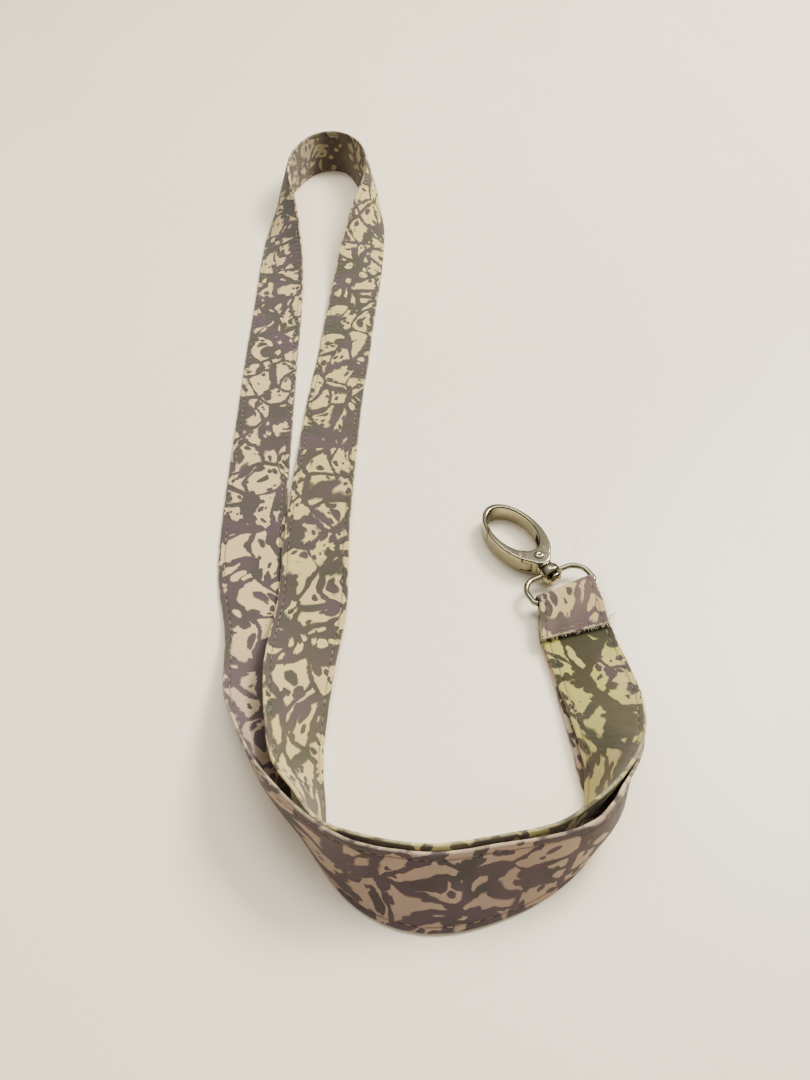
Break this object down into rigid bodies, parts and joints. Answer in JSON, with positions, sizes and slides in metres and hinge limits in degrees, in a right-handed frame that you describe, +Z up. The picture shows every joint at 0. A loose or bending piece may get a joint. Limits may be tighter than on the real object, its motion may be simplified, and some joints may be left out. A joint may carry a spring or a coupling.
{
  "type": "lanyard",
  "caption": "Folded cotton neck lanyard lying on a table, its two strap ends sewn round the wire loop of a swivelling oval snap hook with a sprung gate.",
  "frame": {"origin": "middle of the footprint's bounding rectangle, on the table", "axes": "+Y along the two legs towards the back-of-the-neck arc, +Z up from the table, hook on the +X side"},
  "size_m": [0.1232, 0.377, 0.0208],
  "materials": {
    "printed_cotton": "woven, printed, folded edges",
    "cream_thread": "twisted sewing thread",
    "warm_nickel": "polished nickel plate",
    "spring_steel": "drawn wire"
  },
  "bodies": {
    "strap": {"strap": "printed_cotton", "face_stitch_left_edge": "cream_thread", "face_stitch_right_edge": "cream_thread", "back_stitch_left_edge": "cream_thread", "back_stitch_right_edge": "cream_thread", "end_seam_needle_thread": "cream_thread", "end_seam_bobbin_thread": "cream_thread"},
    "loop": {"swivel_loop": "warm_nickel"},
    "hook": {"hook_body": "warm_nickel", "gate_rivet": "warm_nickel"},
    "gate": {"hook_gate": "warm_nickel", "gate_spring": "spring_steel"}
  },
  "joints": [
    {"name": "loop_pivot", "type": "hinge", "parent": "strap", "child": "loop", "pos_m": [0.04799, -0.09865, 0.00421], "axis": [0.8988, 0.4384, 0], "range_deg": [-70, 70]},
    {"name": "hook_swivel", "type": "hinge", "parent": "loop", "child": "hook", "pos_m": [0.04856, -0.09834, 0.00421], "axis": [-0.5147, 0.8566, -0.0349], "continuous": true},
    {"name": "gate_hinge", "type": "hinge", "parent": "hook", "child": "gate", "pos_m": [0.04161, -0.08678, 0.00374], "axis": [0.018, -0.0299, -0.9994], "range_deg": [0, 28], "stiffness_Nm_per_rad": 0.02, "springref_deg": -45.84, "deforming": ["gate_spring"]}
  ]
}
